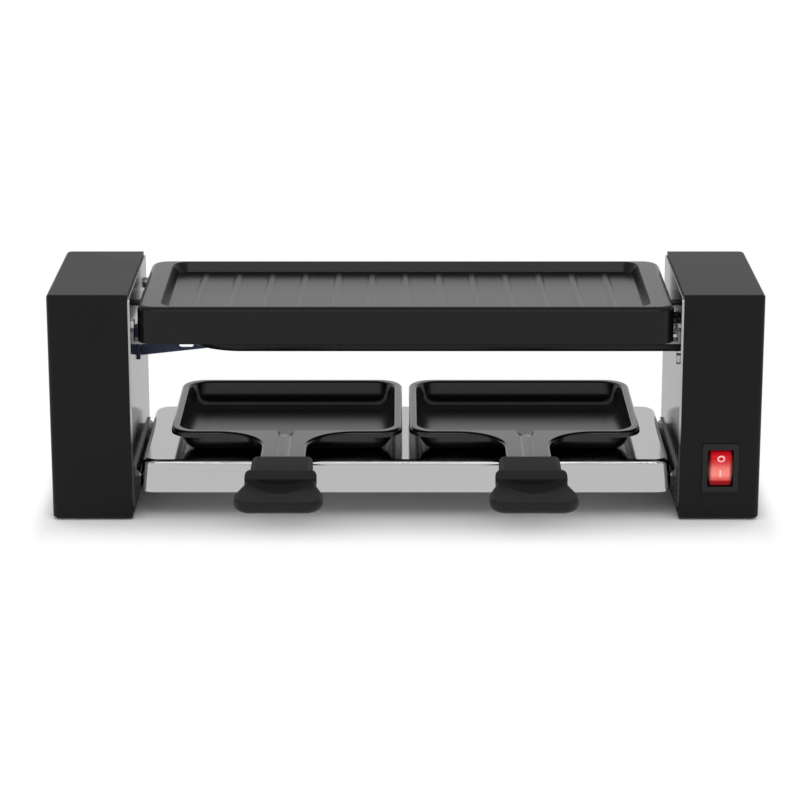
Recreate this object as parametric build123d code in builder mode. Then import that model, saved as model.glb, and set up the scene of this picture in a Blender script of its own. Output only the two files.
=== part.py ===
from build123d import *
from math import atan2, degrees
import os

os.makedirs("parts", exist_ok=True)

# overall sizes of the grill, in millimetres, +Z up, origin under the middle of the whole object
total_width = 360.0
housing_width = 40.7
housing_depth = 100.0
housing_top = 118.0
foot_height = 1.0
pan_back_reach = 60.3
handle_front_reach = 152.0
half = 0.5
left_sign = -1
right_sign = 1

# middle of the housings from front to back
body_y = (handle_front_reach - pan_back_reach) * half
front_y = body_y - housing_depth * half
back_y = body_y + housing_depth * half

# end housings
wall = 2.4
housing_edge_radius = 3.2
housing_top_radius = 1.6
boss_radius = 3.4
pilot_radius = 1.35
pilot_depth = 14.0
boss_side_gap = 5.6
boss_low_rise = 9.0
left_boss_drop = 16.0
right_boss_drop = 34.0
vent_length = 18.0
vent_width = 2.4
vent_spacing = 6.0
vent_count = 7
housing_height = housing_top - foot_height
housing_outer_x = total_width * half
housing_inner_x = housing_outer_x - housing_width
housing_mid_x = (housing_outer_x + housing_inner_x) * half
cavity_x = housing_outer_x - wall
cavity_low = foot_height + wall
cavity_high = housing_top - wall
boss_spread_y = housing_depth * half - boss_side_gap
boss_low_z = foot_height + boss_low_rise
left_boss_z = housing_top - left_boss_drop
right_boss_z = housing_top - right_boss_drop

# feet
foot_radius = 5.0
foot_recess = 0.8
foot_plug_radius = 1.9
foot_plug_length = 5.0
foot_side_gap = 13.0
foot_fit = 0.15
foot_spread_y = housing_depth * half - foot_side_gap

# steel side plates
sheet = 1.1
side_plate_rise = 5.0
side_plate_drop = 1.6
side_plate_inset = 0.8
side_plate_corner = 3.0
side_plate_low = foot_height + side_plate_rise
side_plate_high = housing_top - side_plate_drop
side_plate_depth = housing_depth - side_plate_inset - side_plate_inset
side_plate_height = side_plate_high - side_plate_low
side_plate_mid_z = (side_plate_high + side_plate_low) * half
side_plate_inner_x = housing_inner_x - sheet

# side plate screws
screw_radius = 1.25
screw_hole_radius = 1.5
screw_head_radius = 2.8
screw_head_height = 1.9
screw_length = 12.0
screw_edge = 0.5

# drip tray
tray_top = 31.5
tray_depth = 16.5
tray_gap_top_x = 3.9
tray_gap_low_x = 2.5
tray_gap_top_y = 1.3
tray_gap_low_y = 0.2
tray_back_over = 4.5
tray_corner = 8.0
tray_edge_radius = 2.8
tray_sheet = 1.0
tray_gutter_gap = 5.0
tray_tab_gap = 26.0
tray_tab_drop = 23.9
tray_gutter_drop = 7.9
tray_gutter_reach = 3.2
tray_gutter_sheet = 1.2
tray_gutter_bend = 2.2
tray_flange_rise = 3.8
tray_rivet_rise = 3.8
tray_rivet_gap = 32.0
rivet_radius = 1.2
rivet_head_radius = 2.1
rivet_head_height = 0.9
rivet_hole_radius = 1.35
tray_lip_low = tray_top - tray_depth
tray_half_top_x = side_plate_inner_x - tray_gap_top_x
tray_half_low_x = side_plate_inner_x - tray_gap_low_x
tray_mid_y = body_y + tray_back_over * half
tray_half_top_y = (housing_depth + tray_back_over) * half - tray_gap_top_y
tray_half_low_y = (housing_depth + tray_back_over) * half - tray_gap_low_y
tray_gutter_half_length = housing_depth * half - tray_gutter_gap
tray_tab_half_length = housing_depth * half - tray_tab_gap
tray_tab_low = tray_top - tray_tab_drop
tray_gutter_top = tray_top - tray_gutter_drop
tray_gutter_low = tray_gutter_top - tray_gutter_sheet
tray_flange_high = tray_gutter_top + tray_flange_rise
tray_rivet_z = tray_tab_low + tray_rivet_rise
tray_rivet_y = housing_depth * half - tray_rivet_gap

# grill plate
plate_drop = 6.4
plate_skirt = 18.8
plate_side_gap = 3.2
plate_back_over = 5.5
plate_edge_radius = 3.0
plate_corner = 9.0
plate_wall = 3.0
plate_web = 8.0
plate_cavity_taper = 3.0
recess_depth = 5.0
recess_side_rim = 11.6
recess_end_rim = 3.2
recess_corner = 9.0
recess_taper = 30.0
rib_count = 13
rib_side_gap = 17.8
rib_half_width = 2.4
rib_height = 0.6
rib_sink = 0.4
rib_end_gap = 4.8
lug_width = 10.0
lug_thickness = 3.0
lug_drop = 3.4
lug_inset = 8.0
lug_y = 12.0
plate_top = housing_top - plate_drop
plate_low = plate_top - plate_skirt
plate_half_x = side_plate_inner_x - plate_side_gap
plate_mid_y = body_y + plate_back_over * half
plate_half_y = (housing_depth + plate_back_over) * half
plate_cavity_top = plate_top - plate_web
recess_half_x = plate_half_x - recess_side_rim
recess_half_y = plate_half_y - recess_end_rim
rib_spacing = (recess_half_x - rib_side_gap) * 2 / (rib_count - 1)
rib_length = (recess_half_y - rib_end_gap) * 2
rib_round_radius = (rib_half_width * rib_half_width + rib_height * rib_height) * half / rib_height
lug_low = plate_low - lug_drop
lug_x = plate_half_x - lug_inset

# plate rests
rest_length = 9.0
rest_side_gap = 10.0
rest_sheet = 1.2
rest_reach = 8.0
rest_rise = 5.0
rest_y = housing_depth * half - rest_side_gap

# heating element
tube_radius = 3.25
tube_drop = 6.0
tube_side_gap = 22.0
tube_crown_gap = 27.2
tube_tail = 9.7
tube_gap = 0.35
pin_radius = 1.2
pin_length = 9.0
pin_seal_radius = 2.6
pin_seal_length = 2.0
tube_z = plate_low - tube_drop
tube_leg_y = housing_depth * half - tube_side_gap
tube_bend_x = -side_plate_inner_x + tube_crown_gap + tube_leg_y
tube_end_x = housing_inner_x + tube_tail

# heater bracket at the bend
bracket_sheet = 1.2
bracket_length = 35.2
bracket_rise = 3.6
bracket_drop_wall = 12.8
bracket_drop_tip = 8.9
bracket_foot_half = 9.0
bracket_slot_inset = 10.8
bracket_slot_drop = 7.1
bracket_slot_length = 7.5
bracket_slot_height = 2.8
bracket_rivet_y = 6.0
bracket_rivet_drop = 4.6
bracket_inner_x = -side_plate_inner_x + bracket_length
bracket_top = tube_z + bracket_rise
bracket_low_wall = tube_z - bracket_drop_wall
bracket_low_tip = tube_z - bracket_drop_tip
bracket_slot_x = bracket_inner_x - bracket_slot_inset
bracket_slot_z = tube_z - bracket_slot_drop
bracket_rivet_z = tube_z - bracket_rivet_drop

# heater flange behind the right side plate
flange_sheet = 1.5
flange_boss_gap = 3.5
flange_drop = 7.8
flange_rise = 9.2
flange_corner = 3.0
flange_screw_y = 12.0
flange_screw_rise = 4.4
dome_radius = 2.9
dome_height = 2.0
flange_half_y = boss_spread_y - boss_radius - flange_boss_gap
flange_low = tube_z - flange_drop
flange_high = tube_z + flange_rise
flange_screw_z = tube_z + flange_screw_rise

# raclette pans
pan_side_gap = 18.1
pan_middle_gap = 1.8
pan_sheet = 0.9
pan_rim_front = -41.0
pan_height = 12.8
pan_rim_corner = 12.5
pan_rim_radius = 1.7
pan_edge_depth = 3.0
pan_bead = 3.9
pan_taper = 18.0
pan_basin_corner = 12.5
pan_bottom_radius = 8.0
pan_lip_radius = 1.3
neck_width = 23.0
neck_shoulder = 11.15
neck_length_in_collar = 17.0
neck_tip_corner = 4.0
groove_half_width = 3.3
groove_depth = 0.9
groove_tip_gap = 4.0
groove_sheet = 0.8
funnel_half_width = 5.2
funnel_depth = 2.3
funnel_length = 9.0
pan_rim_top = tray_top + pan_height
pan_rim_width = side_plate_inner_x - pan_side_gap - pan_middle_gap
pan_x = pan_middle_gap + pan_rim_width * half
pan_rim_depth = pan_back_reach - pan_rim_front
pan_mid_y = body_y + (pan_back_reach + pan_rim_front) * half
pan_front_y = body_y + pan_rim_front
basin_width = pan_rim_width - (pan_bead - pan_sheet) * 2
basin_depth = pan_rim_depth - (pan_bead - pan_sheet) * 2
basin_front_y = pan_front_y + pan_bead
neck_fillet = (pan_rim_width - neck_width) * half - pan_rim_corner - neck_shoulder

# pan handles
handle_rise = 1.3
handle_drop = 8.1
handle_length = 65.0
collar_width = 30.2
collar_length = 22.9
collar_radius = 2.9
shoulder_width = 35.0
shoulder_length = 1.4
shoulder_slope = 2.4
waist_length = 9.6
paddle_width = 42.4
paddle_drop = 3.7
paddle_flare = 15.0
paddle_corner = 8.5
paddle_flare_radius = 12.0
paddle_waist_radius = 4.0
paddle_top_edge = 2.2
paddle_low_edge = 3.0
handle_edge_radius = 0.9
scoop_half_width = 13.3
scoop_depth = 2.2
scoop_length = 27.0
slot_fit = 0.2
slot_depth = 4.3
handle_screw_gap = 10.0
handle_screw_radius = 1.6
handle_screw_head = 2.8
handle_top = pan_rim_top + handle_rise
handle_low = pan_rim_top - handle_drop
paddle_top = handle_top - paddle_drop
handle_front_y = body_y - handle_front_reach
collar_back_y = handle_front_y + handle_length
collar_front_y = collar_back_y - collar_length
shoulder_front_y = collar_front_y - shoulder_length
waist_front_y = collar_front_y - waist_length
flare_front_y = waist_front_y - paddle_flare
scoop_radius = (scoop_length * scoop_length + scoop_depth * scoop_depth) * half / scoop_depth
scoop_turn = degrees(atan2(scoop_length, scoop_radius - scoop_depth))
handle_screw_y = collar_back_y - handle_screw_gap
neck_tip_y = collar_back_y - neck_length_in_collar
groove_front_y = neck_tip_y + groove_tip_gap

# rocker switch
switch_x = housing_mid_x
switch_z = 28.0
bezel_width = 18.6
bezel_height = 25.8
bezel_thickness = 1.0
bezel_corner = 1.2
switch_body_width = 16.2
switch_body_height = 23.0
switch_body_depth = 17.0
switch_wall = 1.7
switch_fit = 0.2
rocker_width = 12.4
rocker_end_width = 10.2
rocker_half_height = 9.4
rocker_valley = 3.6
rocker_depth = 3.0
rocker_rise = 1.8
rocker_tilt = 10.0
rocker_fit = 0.3
rocker_edge = 1.1
pivot_y = 2.6
pivot_radius = 1.0
pivot_fit = 0.08
pivot_length = rocker_width + rocker_fit * 2 + switch_wall
tab_width = 4.8
tab_thickness = 0.8
tab_length = 8.0
tab_spacing = 7.0

# terminal block and wiring inside the right housing
wire_radius = 1.1
wire_run = 9.0
wire_bend = 3.5
block_back_gap = 24.0
block_width = 16.0
block_depth = 20.0
block_height = 11.0
block_screw_radius = 2.0
block_screw_height = 1.0
block_screw_spacing = 9.0
block_x = housing_inner_x + block_width * half
block_y = back_y - block_back_gap
block_z = (tube_z + switch_z) * half
wire_drop_z = (tube_z + block_z + block_height * half) * half

# cord inlet at the back of the right housing
gland_z = 24.0
gland_radius = 7.2
gland_neck_radius = 5.6
gland_inner_radius = 6.6
gland_out = 3.0
gland_in = 2.6
gland_bore = 3.6
gland_fit = 0.2
gland_taper = 10.0

# screw places of each end: two high up, one low at the back
left_screw_places = [
    (-boss_spread_y, left_boss_z),
    (boss_spread_y, left_boss_z),
    (boss_spread_y, boss_low_z),
]
right_screw_places = [
    (-boss_spread_y, right_boss_z),
    (boss_spread_y, right_boss_z),
    (boss_spread_y, boss_low_z),
]


# left housing: a moulded shell open towards the pans, with screw bosses inside
with BuildPart() as left_housing:
    with BuildSketch(Plane.XY.offset(foot_height)):
        with Locations((-housing_mid_x, body_y)):
            Rectangle(housing_width, housing_depth)
    extrude(amount=housing_height)
    outer_edges = left_housing.edges().filter_by(Axis.Z).sort_by(Axis.X)[:2]
    fillet(outer_edges, radius=housing_edge_radius)
    rim_edges = left_housing.faces().sort_by(Axis.Z)[-1].edges().sort_by(Axis.X)[:-1]
    fillet(rim_edges, radius=housing_top_radius)
    foot_edges = left_housing.faces().sort_by(Axis.Z)[0].edges().sort_by(Axis.X)[:-1]
    chamfer(foot_edges, length=housing_top_radius * half)
    with BuildSketch(Plane.YZ.offset(-housing_inner_x)):
        with Locations((body_y, (cavity_low + cavity_high) * half)):
            RectangleRounded(
                housing_depth - wall - wall, cavity_high - cavity_low, housing_top_radius
            )
    extrude(amount=-(housing_width - wall), mode=Mode.SUBTRACT)
    with BuildSketch(Plane.YZ.offset(-cavity_x)):
        with Locations(*[(body_y + y, z) for y, z in left_screw_places]):
            Circle(boss_radius)
    extrude(amount=cavity_x - housing_inner_x)
    with BuildSketch(Plane.YZ.offset(-housing_inner_x)):
        with Locations(*[(body_y + y, z) for y, z in left_screw_places]):
            Circle(pilot_radius)
    extrude(amount=-pilot_depth, mode=Mode.SUBTRACT)
    with BuildSketch(Plane.XY.offset(foot_height)):
        with Locations((-housing_mid_x, body_y)):
            with GridLocations(vent_spacing, vent_spacing, 1, vent_count):
                SlotOverall(vent_length, vent_width)
        with Locations(*[(-housing_mid_x, body_y + s * foot_spread_y) for s in (-1, 1)]):
            Circle(foot_plug_radius + foot_fit)
    extrude(amount=wall, mode=Mode.SUBTRACT)
    with BuildSketch(Plane.XY.offset(foot_height)):
        with Locations(*[(-housing_mid_x, body_y + s * foot_spread_y) for s in (-1, 1)]):
            Circle(foot_radius + foot_fit)
    extrude(amount=foot_recess, mode=Mode.SUBTRACT)
left_housing.part.label = "left_housing"

# right housing: the mirrored shell with the switch window and the cord hole
with BuildPart() as right_housing:
    with BuildSketch(Plane.XY.offset(foot_height)):
        with Locations((housing_mid_x, body_y)):
            Rectangle(housing_width, housing_depth)
    extrude(amount=housing_height)
    outer_edges = right_housing.edges().filter_by(Axis.Z).sort_by(Axis.X)[-2:]
    fillet(outer_edges, radius=housing_edge_radius)
    rim_edges = right_housing.faces().sort_by(Axis.Z)[-1].edges().sort_by(Axis.X)[1:]
    fillet(rim_edges, radius=housing_top_radius)
    foot_edges = right_housing.faces().sort_by(Axis.Z)[0].edges().sort_by(Axis.X)[1:]
    chamfer(foot_edges, length=housing_top_radius * half)
    with BuildSketch(Plane.YZ.offset(housing_inner_x)):
        with Locations((body_y, (cavity_low + cavity_high) * half)):
            RectangleRounded(
                housing_depth - wall - wall, cavity_high - cavity_low, housing_top_radius
            )
    extrude(amount=housing_width - wall, mode=Mode.SUBTRACT)
    with BuildSketch(Plane.YZ.offset(cavity_x)):
        with Locations(*[(body_y + y, z) for y, z in right_screw_places]):
            Circle(boss_radius)
    extrude(amount=-(cavity_x - housing_inner_x))
    with BuildSketch(Plane.YZ.offset(housing_inner_x)):
        with Locations(*[(body_y + y, z) for y, z in right_screw_places]):
            Circle(pilot_radius)
    extrude(amount=pilot_depth, mode=Mode.SUBTRACT)
    with BuildSketch(Plane.XY.offset(foot_height)):
        with Locations((housing_mid_x, body_y)):
            with GridLocations(vent_spacing, vent_spacing, 1, vent_count):
                SlotOverall(vent_length, vent_width)
        with Locations(*[(housing_mid_x, body_y + s * foot_spread_y) for s in (-1, 1)]):
            Circle(foot_plug_radius + foot_fit)
    extrude(amount=wall, mode=Mode.SUBTRACT)
    with BuildSketch(Plane.XY.offset(foot_height)):
        with Locations(*[(housing_mid_x, body_y + s * foot_spread_y) for s in (-1, 1)]):
            Circle(foot_radius + foot_fit)
    extrude(amount=foot_recess, mode=Mode.SUBTRACT)
    with BuildSketch(Plane.XZ.offset(-front_y)):
        with Locations((switch_x, switch_z)):
            Rectangle(
                switch_body_width + switch_fit + switch_fit,
                switch_body_height + switch_fit + switch_fit,
            )
    extrude(amount=-(wall + wall), mode=Mode.SUBTRACT)
    with BuildSketch(Plane.XZ.offset(-back_y)):
        with Locations((switch_x, gland_z)):
            Circle(gland_neck_radius + gland_fit)
    extrude(amount=wall + wall, mode=Mode.SUBTRACT)
right_housing.part.label = "right_housing"

# rubber feet, pressed into the housing bottoms
with BuildPart() as left_feet:
    with BuildSketch(Plane.XY):
        with Locations(*[(-housing_mid_x, body_y + s * foot_spread_y) for s in (-1, 1)]):
            Circle(foot_radius)
    extrude(amount=foot_height + foot_recess)
    chamfer(left_feet.edges().group_by(Axis.Z)[0], length=foot_recess * half)
    with BuildSketch(Plane.XY.offset(foot_height + foot_recess)):
        with Locations(*[(-housing_mid_x, body_y + s * foot_spread_y) for s in (-1, 1)]):
            Circle(foot_plug_radius)
    extrude(amount=foot_plug_length)
    chamfer(left_feet.edges().group_by(Axis.Z)[-1], length=foot_recess)
left_feet.part.label = "left_feet"

with BuildPart() as right_feet:
    add(mirror(left_feet.part, about=Plane.YZ, mode=Mode.PRIVATE))
right_feet.part.label = "right_feet"

# left side plate: polished sheet closing the left housing
with BuildPart() as left_side_plate:
    with BuildSketch(Plane.YZ.offset(-housing_inner_x)):
        with Locations((body_y, side_plate_mid_z)):
            RectangleRounded(side_plate_depth, side_plate_height, side_plate_corner)
        with Locations(*[(body_y + y, z) for y, z in left_screw_places]):
            Circle(screw_hole_radius, mode=Mode.SUBTRACT)
        with Locations(*[(body_y + s * tray_rivet_y, tray_rivet_z) for s in (-1, 1)]):
            Circle(rivet_hole_radius, mode=Mode.SUBTRACT)
        with Locations(*[(body_y + s * bracket_rivet_y, bracket_rivet_z) for s in (-1, 1)]):
            Circle(rivet_hole_radius, mode=Mode.SUBTRACT)
    extrude(amount=sheet)
left_side_plate.part.label = "left_side_plate"

# right side plate: the same sheet with passages for the heating element
with BuildPart() as right_side_plate:
    with BuildSketch(Plane.YZ.offset(side_plate_inner_x)):
        with Locations((body_y, side_plate_mid_z)):
            RectangleRounded(side_plate_depth, side_plate_height, side_plate_corner)
        with Locations(*[(body_y + y, z) for y, z in right_screw_places]):
            Circle(screw_hole_radius, mode=Mode.SUBTRACT)
        with Locations(*[(body_y + s * tray_rivet_y, tray_rivet_z) for s in (-1, 1)]):
            Circle(rivet_hole_radius, mode=Mode.SUBTRACT)
        with Locations(*[(body_y + s * flange_screw_y, flange_screw_z) for s in (-1, 1)]):
            Circle(rivet_hole_radius, mode=Mode.SUBTRACT)
        with Locations(*[(body_y + s * tube_leg_y, tube_z) for s in (-1, 1)]):
            Circle(tube_radius + tube_gap + tube_gap, mode=Mode.SUBTRACT)
    extrude(amount=sheet)
right_side_plate.part.label = "right_side_plate"

# side plate screws, heads towards the pans
with BuildPart() as left_plate_screws:
    with BuildSketch(Plane.YZ.offset(-side_plate_inner_x)):
        with Locations(*[(body_y + y, z) for y, z in left_screw_places]):
            Circle(screw_head_radius)
    extrude(amount=screw_head_height)
    head_edges = left_plate_screws.edges().group_by(Axis.X)[-1]
    chamfer(head_edges, length=screw_edge)
    with BuildSketch(Plane.YZ.offset(-side_plate_inner_x)):
        with Locations(*[(body_y + y, z) for y, z in left_screw_places]):
            Circle(screw_radius)
    extrude(amount=-screw_length)
left_plate_screws.part.label = "left_plate_screws"

with BuildPart() as right_plate_screws:
    with BuildSketch(Plane.YZ.offset(side_plate_inner_x)):
        with Locations(*[(body_y + y, z) for y, z in right_screw_places]):
            Circle(screw_head_radius)
    extrude(amount=-screw_head_height)
    head_edges = right_plate_screws.edges().group_by(Axis.X)[0]
    chamfer(head_edges, length=screw_edge)
    with BuildSketch(Plane.YZ.offset(side_plate_inner_x)):
        with Locations(*[(body_y + y, z) for y, z in right_screw_places]):
            Circle(screw_radius)
    extrude(amount=screw_length)
right_plate_screws.part.label = "right_plate_screws"

# drip tray: an inverted shallow pan with a gutter and an upright flange at each end
with BuildPart() as drip_tray:
    with BuildSketch(Plane.XY.offset(tray_lip_low)):
        with Locations((0, tray_mid_y)):
            RectangleRounded(
                tray_half_low_x + tray_half_low_x,
                tray_half_low_y + tray_half_low_y,
                tray_corner,
            )
    with BuildSketch(Plane.XY.offset(tray_top)):
        with Locations((0, tray_mid_y)):
            RectangleRounded(
                tray_half_top_x + tray_half_top_x,
                tray_half_top_y + tray_half_top_y,
                tray_corner,
            )
    loft()
    fillet(drip_tray.faces().sort_by(Axis.Z)[-1].edges(), radius=tray_edge_radius)
    with BuildSketch(Plane.XY.offset(tray_lip_low)):
        with Locations((0, tray_mid_y)):
            RectangleRounded(
                (tray_half_low_x - tray_sheet) * 2,
                (tray_half_low_y - tray_sheet) * 2,
                tray_corner - tray_sheet,
            )
    with BuildSketch(Plane.XY.offset(tray_top - tray_sheet)):
        with Locations((0, tray_mid_y)):
            RectangleRounded(
                (tray_half_top_x - tray_sheet) * 2,
                (tray_half_top_y - tray_sheet) * 2,
                tray_corner - tray_sheet,
            )
    loft(mode=Mode.SUBTRACT)
    ceiling = drip_tray.faces().filter_by(Axis.Z).sort_by(Axis.Z)[-2]
    fillet(ceiling.edges(), radius=tray_edge_radius - tray_sheet)
    with BuildSketch(Plane.XZ.offset(-(body_y + tray_gutter_half_length))):
        with BuildLine():
            Polyline(
                (side_plate_inner_x - tray_gutter_reach, tray_gutter_low),
                (side_plate_inner_x, tray_gutter_low),
                (side_plate_inner_x, tray_flange_high),
                (side_plate_inner_x - tray_sheet, tray_flange_high),
                (side_plate_inner_x - tray_sheet, tray_gutter_top + tray_gutter_bend),
                (side_plate_inner_x - tray_gutter_reach, tray_gutter_top),
                close=True,
            )
        make_face()
        mirror(about=Plane.YZ)
    extrude(amount=tray_gutter_half_length + tray_gutter_half_length)
    with BuildSketch(Plane.XY.offset(tray_gutter_low)):
        with Locations(*[(s * (side_plate_inner_x - tray_sheet * half), body_y) for s in (-1, 1)]):
            Rectangle(tray_sheet, tray_tab_half_length + tray_tab_half_length)
    extrude(amount=tray_tab_low - tray_gutter_low)
    with BuildSketch(Plane.YZ.offset(-housing_inner_x)):
        with Locations(*[(body_y + s * tray_rivet_y, tray_rivet_z) for s in (-1, 1)]):
            Circle(rivet_hole_radius)
    extrude(amount=housing_inner_x + housing_inner_x, mode=Mode.SUBTRACT)
drip_tray.part.label = "drip_tray"

# rivets holding the tray flanges to the side plates
with BuildPart() as tray_rivets:
    with BuildSketch(Plane.YZ.offset(side_plate_inner_x - tray_sheet)):
        with Locations(*[(body_y + s * tray_rivet_y, tray_rivet_z) for s in (-1, 1)]):
            Circle(rivet_head_radius)
    extrude(amount=-rivet_head_height)
    chamfer(tray_rivets.edges().group_by(Axis.X)[0], length=screw_edge)
    with BuildSketch(Plane.YZ.offset(side_plate_inner_x - tray_sheet)):
        with Locations(*[(body_y + s * tray_rivet_y, tray_rivet_z) for s in (-1, 1)]):
            Circle(rivet_radius)
    extrude(amount=tray_sheet + sheet)
    mirror(about=Plane.YZ)
tray_rivets.part.label = "tray_rivets"

# grill plate: a cast tray with a sloped recess, low ribs and a deep skirt
with BuildPart() as grill_plate:
    with BuildSketch(Plane.XY.offset(plate_low)):
        with Locations((0, plate_mid_y)):
            RectangleRounded(plate_half_x * 2, plate_half_y * 2, plate_corner)
    extrude(amount=plate_top - plate_low)
    fillet(grill_plate.faces().sort_by(Axis.Z)[-1].edges(), radius=plate_edge_radius)
    with BuildSketch(Plane.XY.offset(plate_top)):
        with Locations((0, plate_mid_y)):
            RectangleRounded(recess_half_x * 2, recess_half_y * 2, recess_corner)
    extrude(amount=-recess_depth, taper=recess_taper, mode=Mode.SUBTRACT)
    with BuildSketch(Plane.XY.offset(plate_low)):
        with Locations((0, plate_mid_y)):
            RectangleRounded(
                (plate_half_x - plate_wall) * 2,
                (plate_half_y - plate_wall) * 2,
                plate_corner - plate_wall,
            )
    extrude(amount=plate_cavity_top - plate_low, taper=plate_cavity_taper, mode=Mode.SUBTRACT)
    with BuildSketch(Plane.XZ.offset(-(plate_mid_y + rib_length * half))):
        with Locations((0, plate_top - recess_depth + rib_height - rib_round_radius)):
            with GridLocations(rib_spacing, rib_spacing, rib_count, 1):
                Circle(rib_round_radius)
        with Locations((0, plate_top - recess_depth - rib_sink)):
            Rectangle(
                plate_half_x * 2,
                rib_round_radius * 2,
                align=(Align.CENTER, Align.MAX),
                mode=Mode.SUBTRACT,
            )
    extrude(amount=rib_length)
    with BuildSketch(Plane.XY.offset(lug_low)):
        with Locations(
            *[(s * lug_x, body_y + t * lug_y) for s in (-1, 1) for t in (-1, 1)]
        ):
            Rectangle(lug_thickness, lug_width)
    extrude(amount=plate_cavity_top - lug_low + rib_sink)
grill_plate.part.label = "grill_plate"

# plate rests: small angle pieces on the side plates, under the skirt
with BuildPart() as left_plate_rests:
    with BuildSketch(Plane.XZ.offset(-(body_y + rest_y + rest_length * half))):
        with BuildLine():
            Polyline(
                (-side_plate_inner_x, plate_low - rest_sheet),
                (-side_plate_inner_x + rest_reach, plate_low - rest_sheet),
                (-side_plate_inner_x + rest_reach, plate_low),
                (-side_plate_inner_x + rest_sheet, plate_low),
                (-side_plate_inner_x + rest_sheet, plate_low + rest_rise),
                (-side_plate_inner_x, plate_low + rest_rise),
                close=True,
            )
        make_face()
    extrude(amount=rest_length)
    mirror(about=Plane.XZ.offset(-body_y))
left_plate_rests.part.label = "left_plate_rests"

with BuildPart() as right_plate_rests:
    add(mirror(left_plate_rests.part, about=Plane.YZ, mode=Mode.PRIVATE))
right_plate_rests.part.label = "right_plate_rests"

# heating element: one bent tube with both ends inside the right housing
with BuildPart() as heating_element:
    with BuildLine() as tube_path:
        front_leg = Line(
            (tube_end_x, body_y - tube_leg_y, tube_z), (tube_bend_x, body_y - tube_leg_y, tube_z)
        )
        bend = ThreePointArc(
            (tube_bend_x, body_y - tube_leg_y, tube_z),
            (tube_bend_x - tube_leg_y, body_y, tube_z),
            (tube_bend_x, body_y + tube_leg_y, tube_z),
        )
        back_leg = Line(
            (tube_bend_x, body_y + tube_leg_y, tube_z), (tube_end_x, body_y + tube_leg_y, tube_z)
        )
    with BuildSketch(Plane.YZ.offset(tube_end_x)):
        with Locations((body_y - tube_leg_y, tube_z)):
            Circle(tube_radius)
    sweep()
heating_element.part.label = "heating_element"

# terminal pins with their ceramic seals at the tube ends
with BuildPart() as heater_pins:
    with BuildSketch(Plane.YZ.offset(tube_end_x)):
        with Locations(*[(body_y + s * tube_leg_y, tube_z) for s in (-1, 1)]):
            Circle(pin_seal_radius)
    extrude(amount=pin_seal_length)
    with BuildSketch(Plane.YZ.offset(tube_end_x + pin_seal_length)):
        with Locations(*[(body_y + s * tube_leg_y, tube_z) for s in (-1, 1)]):
            Circle(pin_radius)
    extrude(amount=pin_length)
heater_pins.part.label = "heater_pins"

# heater bracket: a web with a cradle for the bend and a foot on the left side plate
with BuildPart() as heater_bracket:
    with BuildSketch(Plane.XZ.offset(-(body_y + bracket_sheet * half))):
        with BuildLine():
            Polyline(
                (-side_plate_inner_x, bracket_low_wall),
                (bracket_inner_x, bracket_low_tip),
                (bracket_inner_x, bracket_top),
                (-side_plate_inner_x, bracket_top),
                close=True,
            )
        make_face()
        with Locations((tube_bend_x - tube_leg_y, tube_z)):
            Circle(tube_radius + tube_gap, mode=Mode.SUBTRACT)
        with Locations((tube_bend_x - tube_leg_y, bracket_top)):
            Rectangle(
                (tube_radius + tube_gap) * 2,
                (bracket_top - tube_z) * 2,
                mode=Mode.SUBTRACT,
            )
        with Locations((bracket_slot_x, bracket_slot_z)):
            SlotOverall(bracket_slot_length, bracket_slot_height, mode=Mode.SUBTRACT)
    extrude(amount=bracket_sheet)
    with BuildSketch(Plane.YZ.offset(-side_plate_inner_x)):
        with Locations((body_y, (bracket_low_wall + bracket_top) * half)):
            Rectangle(bracket_foot_half * 2, bracket_top - bracket_low_wall)
        with Locations(*[(body_y + s * bracket_rivet_y, bracket_rivet_z) for s in (-1, 1)]):
            Circle(rivet_hole_radius, mode=Mode.SUBTRACT)
    extrude(amount=bracket_sheet)
heater_bracket.part.label = "heater_bracket"

with BuildPart() as bracket_rivets:
    with BuildSketch(Plane.YZ.offset(-side_plate_inner_x + bracket_sheet)):
        with Locations(*[(body_y + s * bracket_rivet_y, bracket_rivet_z) for s in (-1, 1)]):
            Circle(rivet_head_radius)
    extrude(amount=rivet_head_height)
    chamfer(bracket_rivets.edges().group_by(Axis.X)[-1], length=screw_edge)
    with BuildSketch(Plane.YZ.offset(-side_plate_inner_x + bracket_sheet)):
        with Locations(*[(body_y + s * bracket_rivet_y, bracket_rivet_z) for s in (-1, 1)]):
            Circle(rivet_radius)
    extrude(amount=-(bracket_sheet + sheet))
bracket_rivets.part.label = "bracket_rivets"

# heater flange: the plate behind the right side plate that carries both tube ends
with BuildPart() as heater_flange:
    with BuildSketch(Plane.YZ.offset(housing_inner_x)):
        with Locations((body_y, (flange_low + flange_high) * half)):
            RectangleRounded(flange_half_y * 2, flange_high - flange_low, flange_corner)
        with Locations(*[(body_y + s * tube_leg_y, tube_z) for s in (-1, 1)]):
            Circle(tube_radius + tube_gap, mode=Mode.SUBTRACT)
        with Locations(*[(body_y + s * flange_screw_y, flange_screw_z) for s in (-1, 1)]):
            Circle(rivet_hole_radius, mode=Mode.SUBTRACT)
    extrude(amount=flange_sheet)
heater_flange.part.label = "heater_flange"

with BuildPart() as flange_screws:
    with BuildSketch(Plane.YZ.offset(side_plate_inner_x)):
        with Locations(*[(body_y + s * flange_screw_y, flange_screw_z) for s in (-1, 1)]):
            Circle(dome_radius)
    extrude(amount=-dome_height)
    fillet(flange_screws.edges().group_by(Axis.X)[0], radius=dome_height - screw_edge)
    with BuildSketch(Plane.YZ.offset(side_plate_inner_x)):
        with Locations(*[(body_y + s * flange_screw_y, flange_screw_z) for s in (-1, 1)]):
            Circle(rivet_radius)
    extrude(amount=flange_sheet + sheet + dome_height)
flange_screws.part.label = "flange_screws"

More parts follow.
